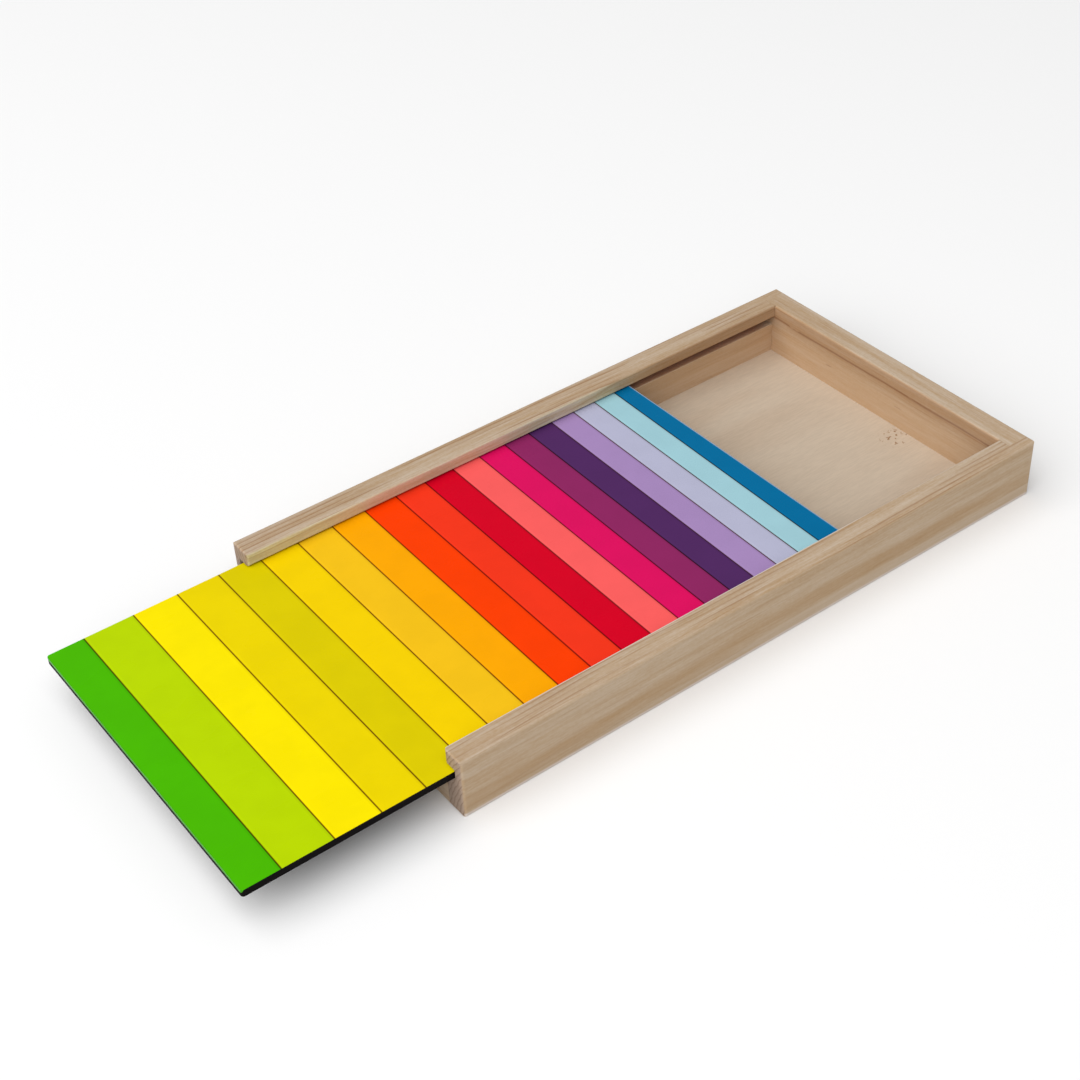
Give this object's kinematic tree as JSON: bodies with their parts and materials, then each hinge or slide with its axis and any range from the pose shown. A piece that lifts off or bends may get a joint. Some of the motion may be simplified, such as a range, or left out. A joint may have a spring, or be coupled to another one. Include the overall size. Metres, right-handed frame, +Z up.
{
  "type": "slide-top pencil box",
  "caption": "Flat pine pencil box with a thin striped lid that slides in grooves along its long sides and pulls out of the front.",
  "frame": {"origin": "centre of the underside of the box, on the surface it rests on; the lid that stands out of the front isn't counted", "axes": "+X along the box to the rear end board, so the lid slides out towards -X; +Y to the left rail; +Z up"},
  "size_m": [0.2465, 0.1034, 0.0177],
  "materials": {
    "pine_rail": "bare planed pine, long grain",
    "pine_end_board": "bare planed pine",
    "plywood_floor": "bare pale veneer",
    "printed_fibreboard": "glossy striped print, black edges and back"
  },
  "bodies": {
    "box": {"right_rail": "pine_rail", "left_rail": "pine_rail", "rear_board": "pine_end_board", "front_board": "pine_end_board", "bottom_panel": "plywood_floor"},
    "lid": {"sliding_lid": "printed_fibreboard"}
  },
  "joints": [
    {"name": "lid_slide", "type": "slide", "parent": "box", "child": "lid", "axis": [-1, 0, 0], "range_m": [-0.0559, 0.13]}
  ]
}
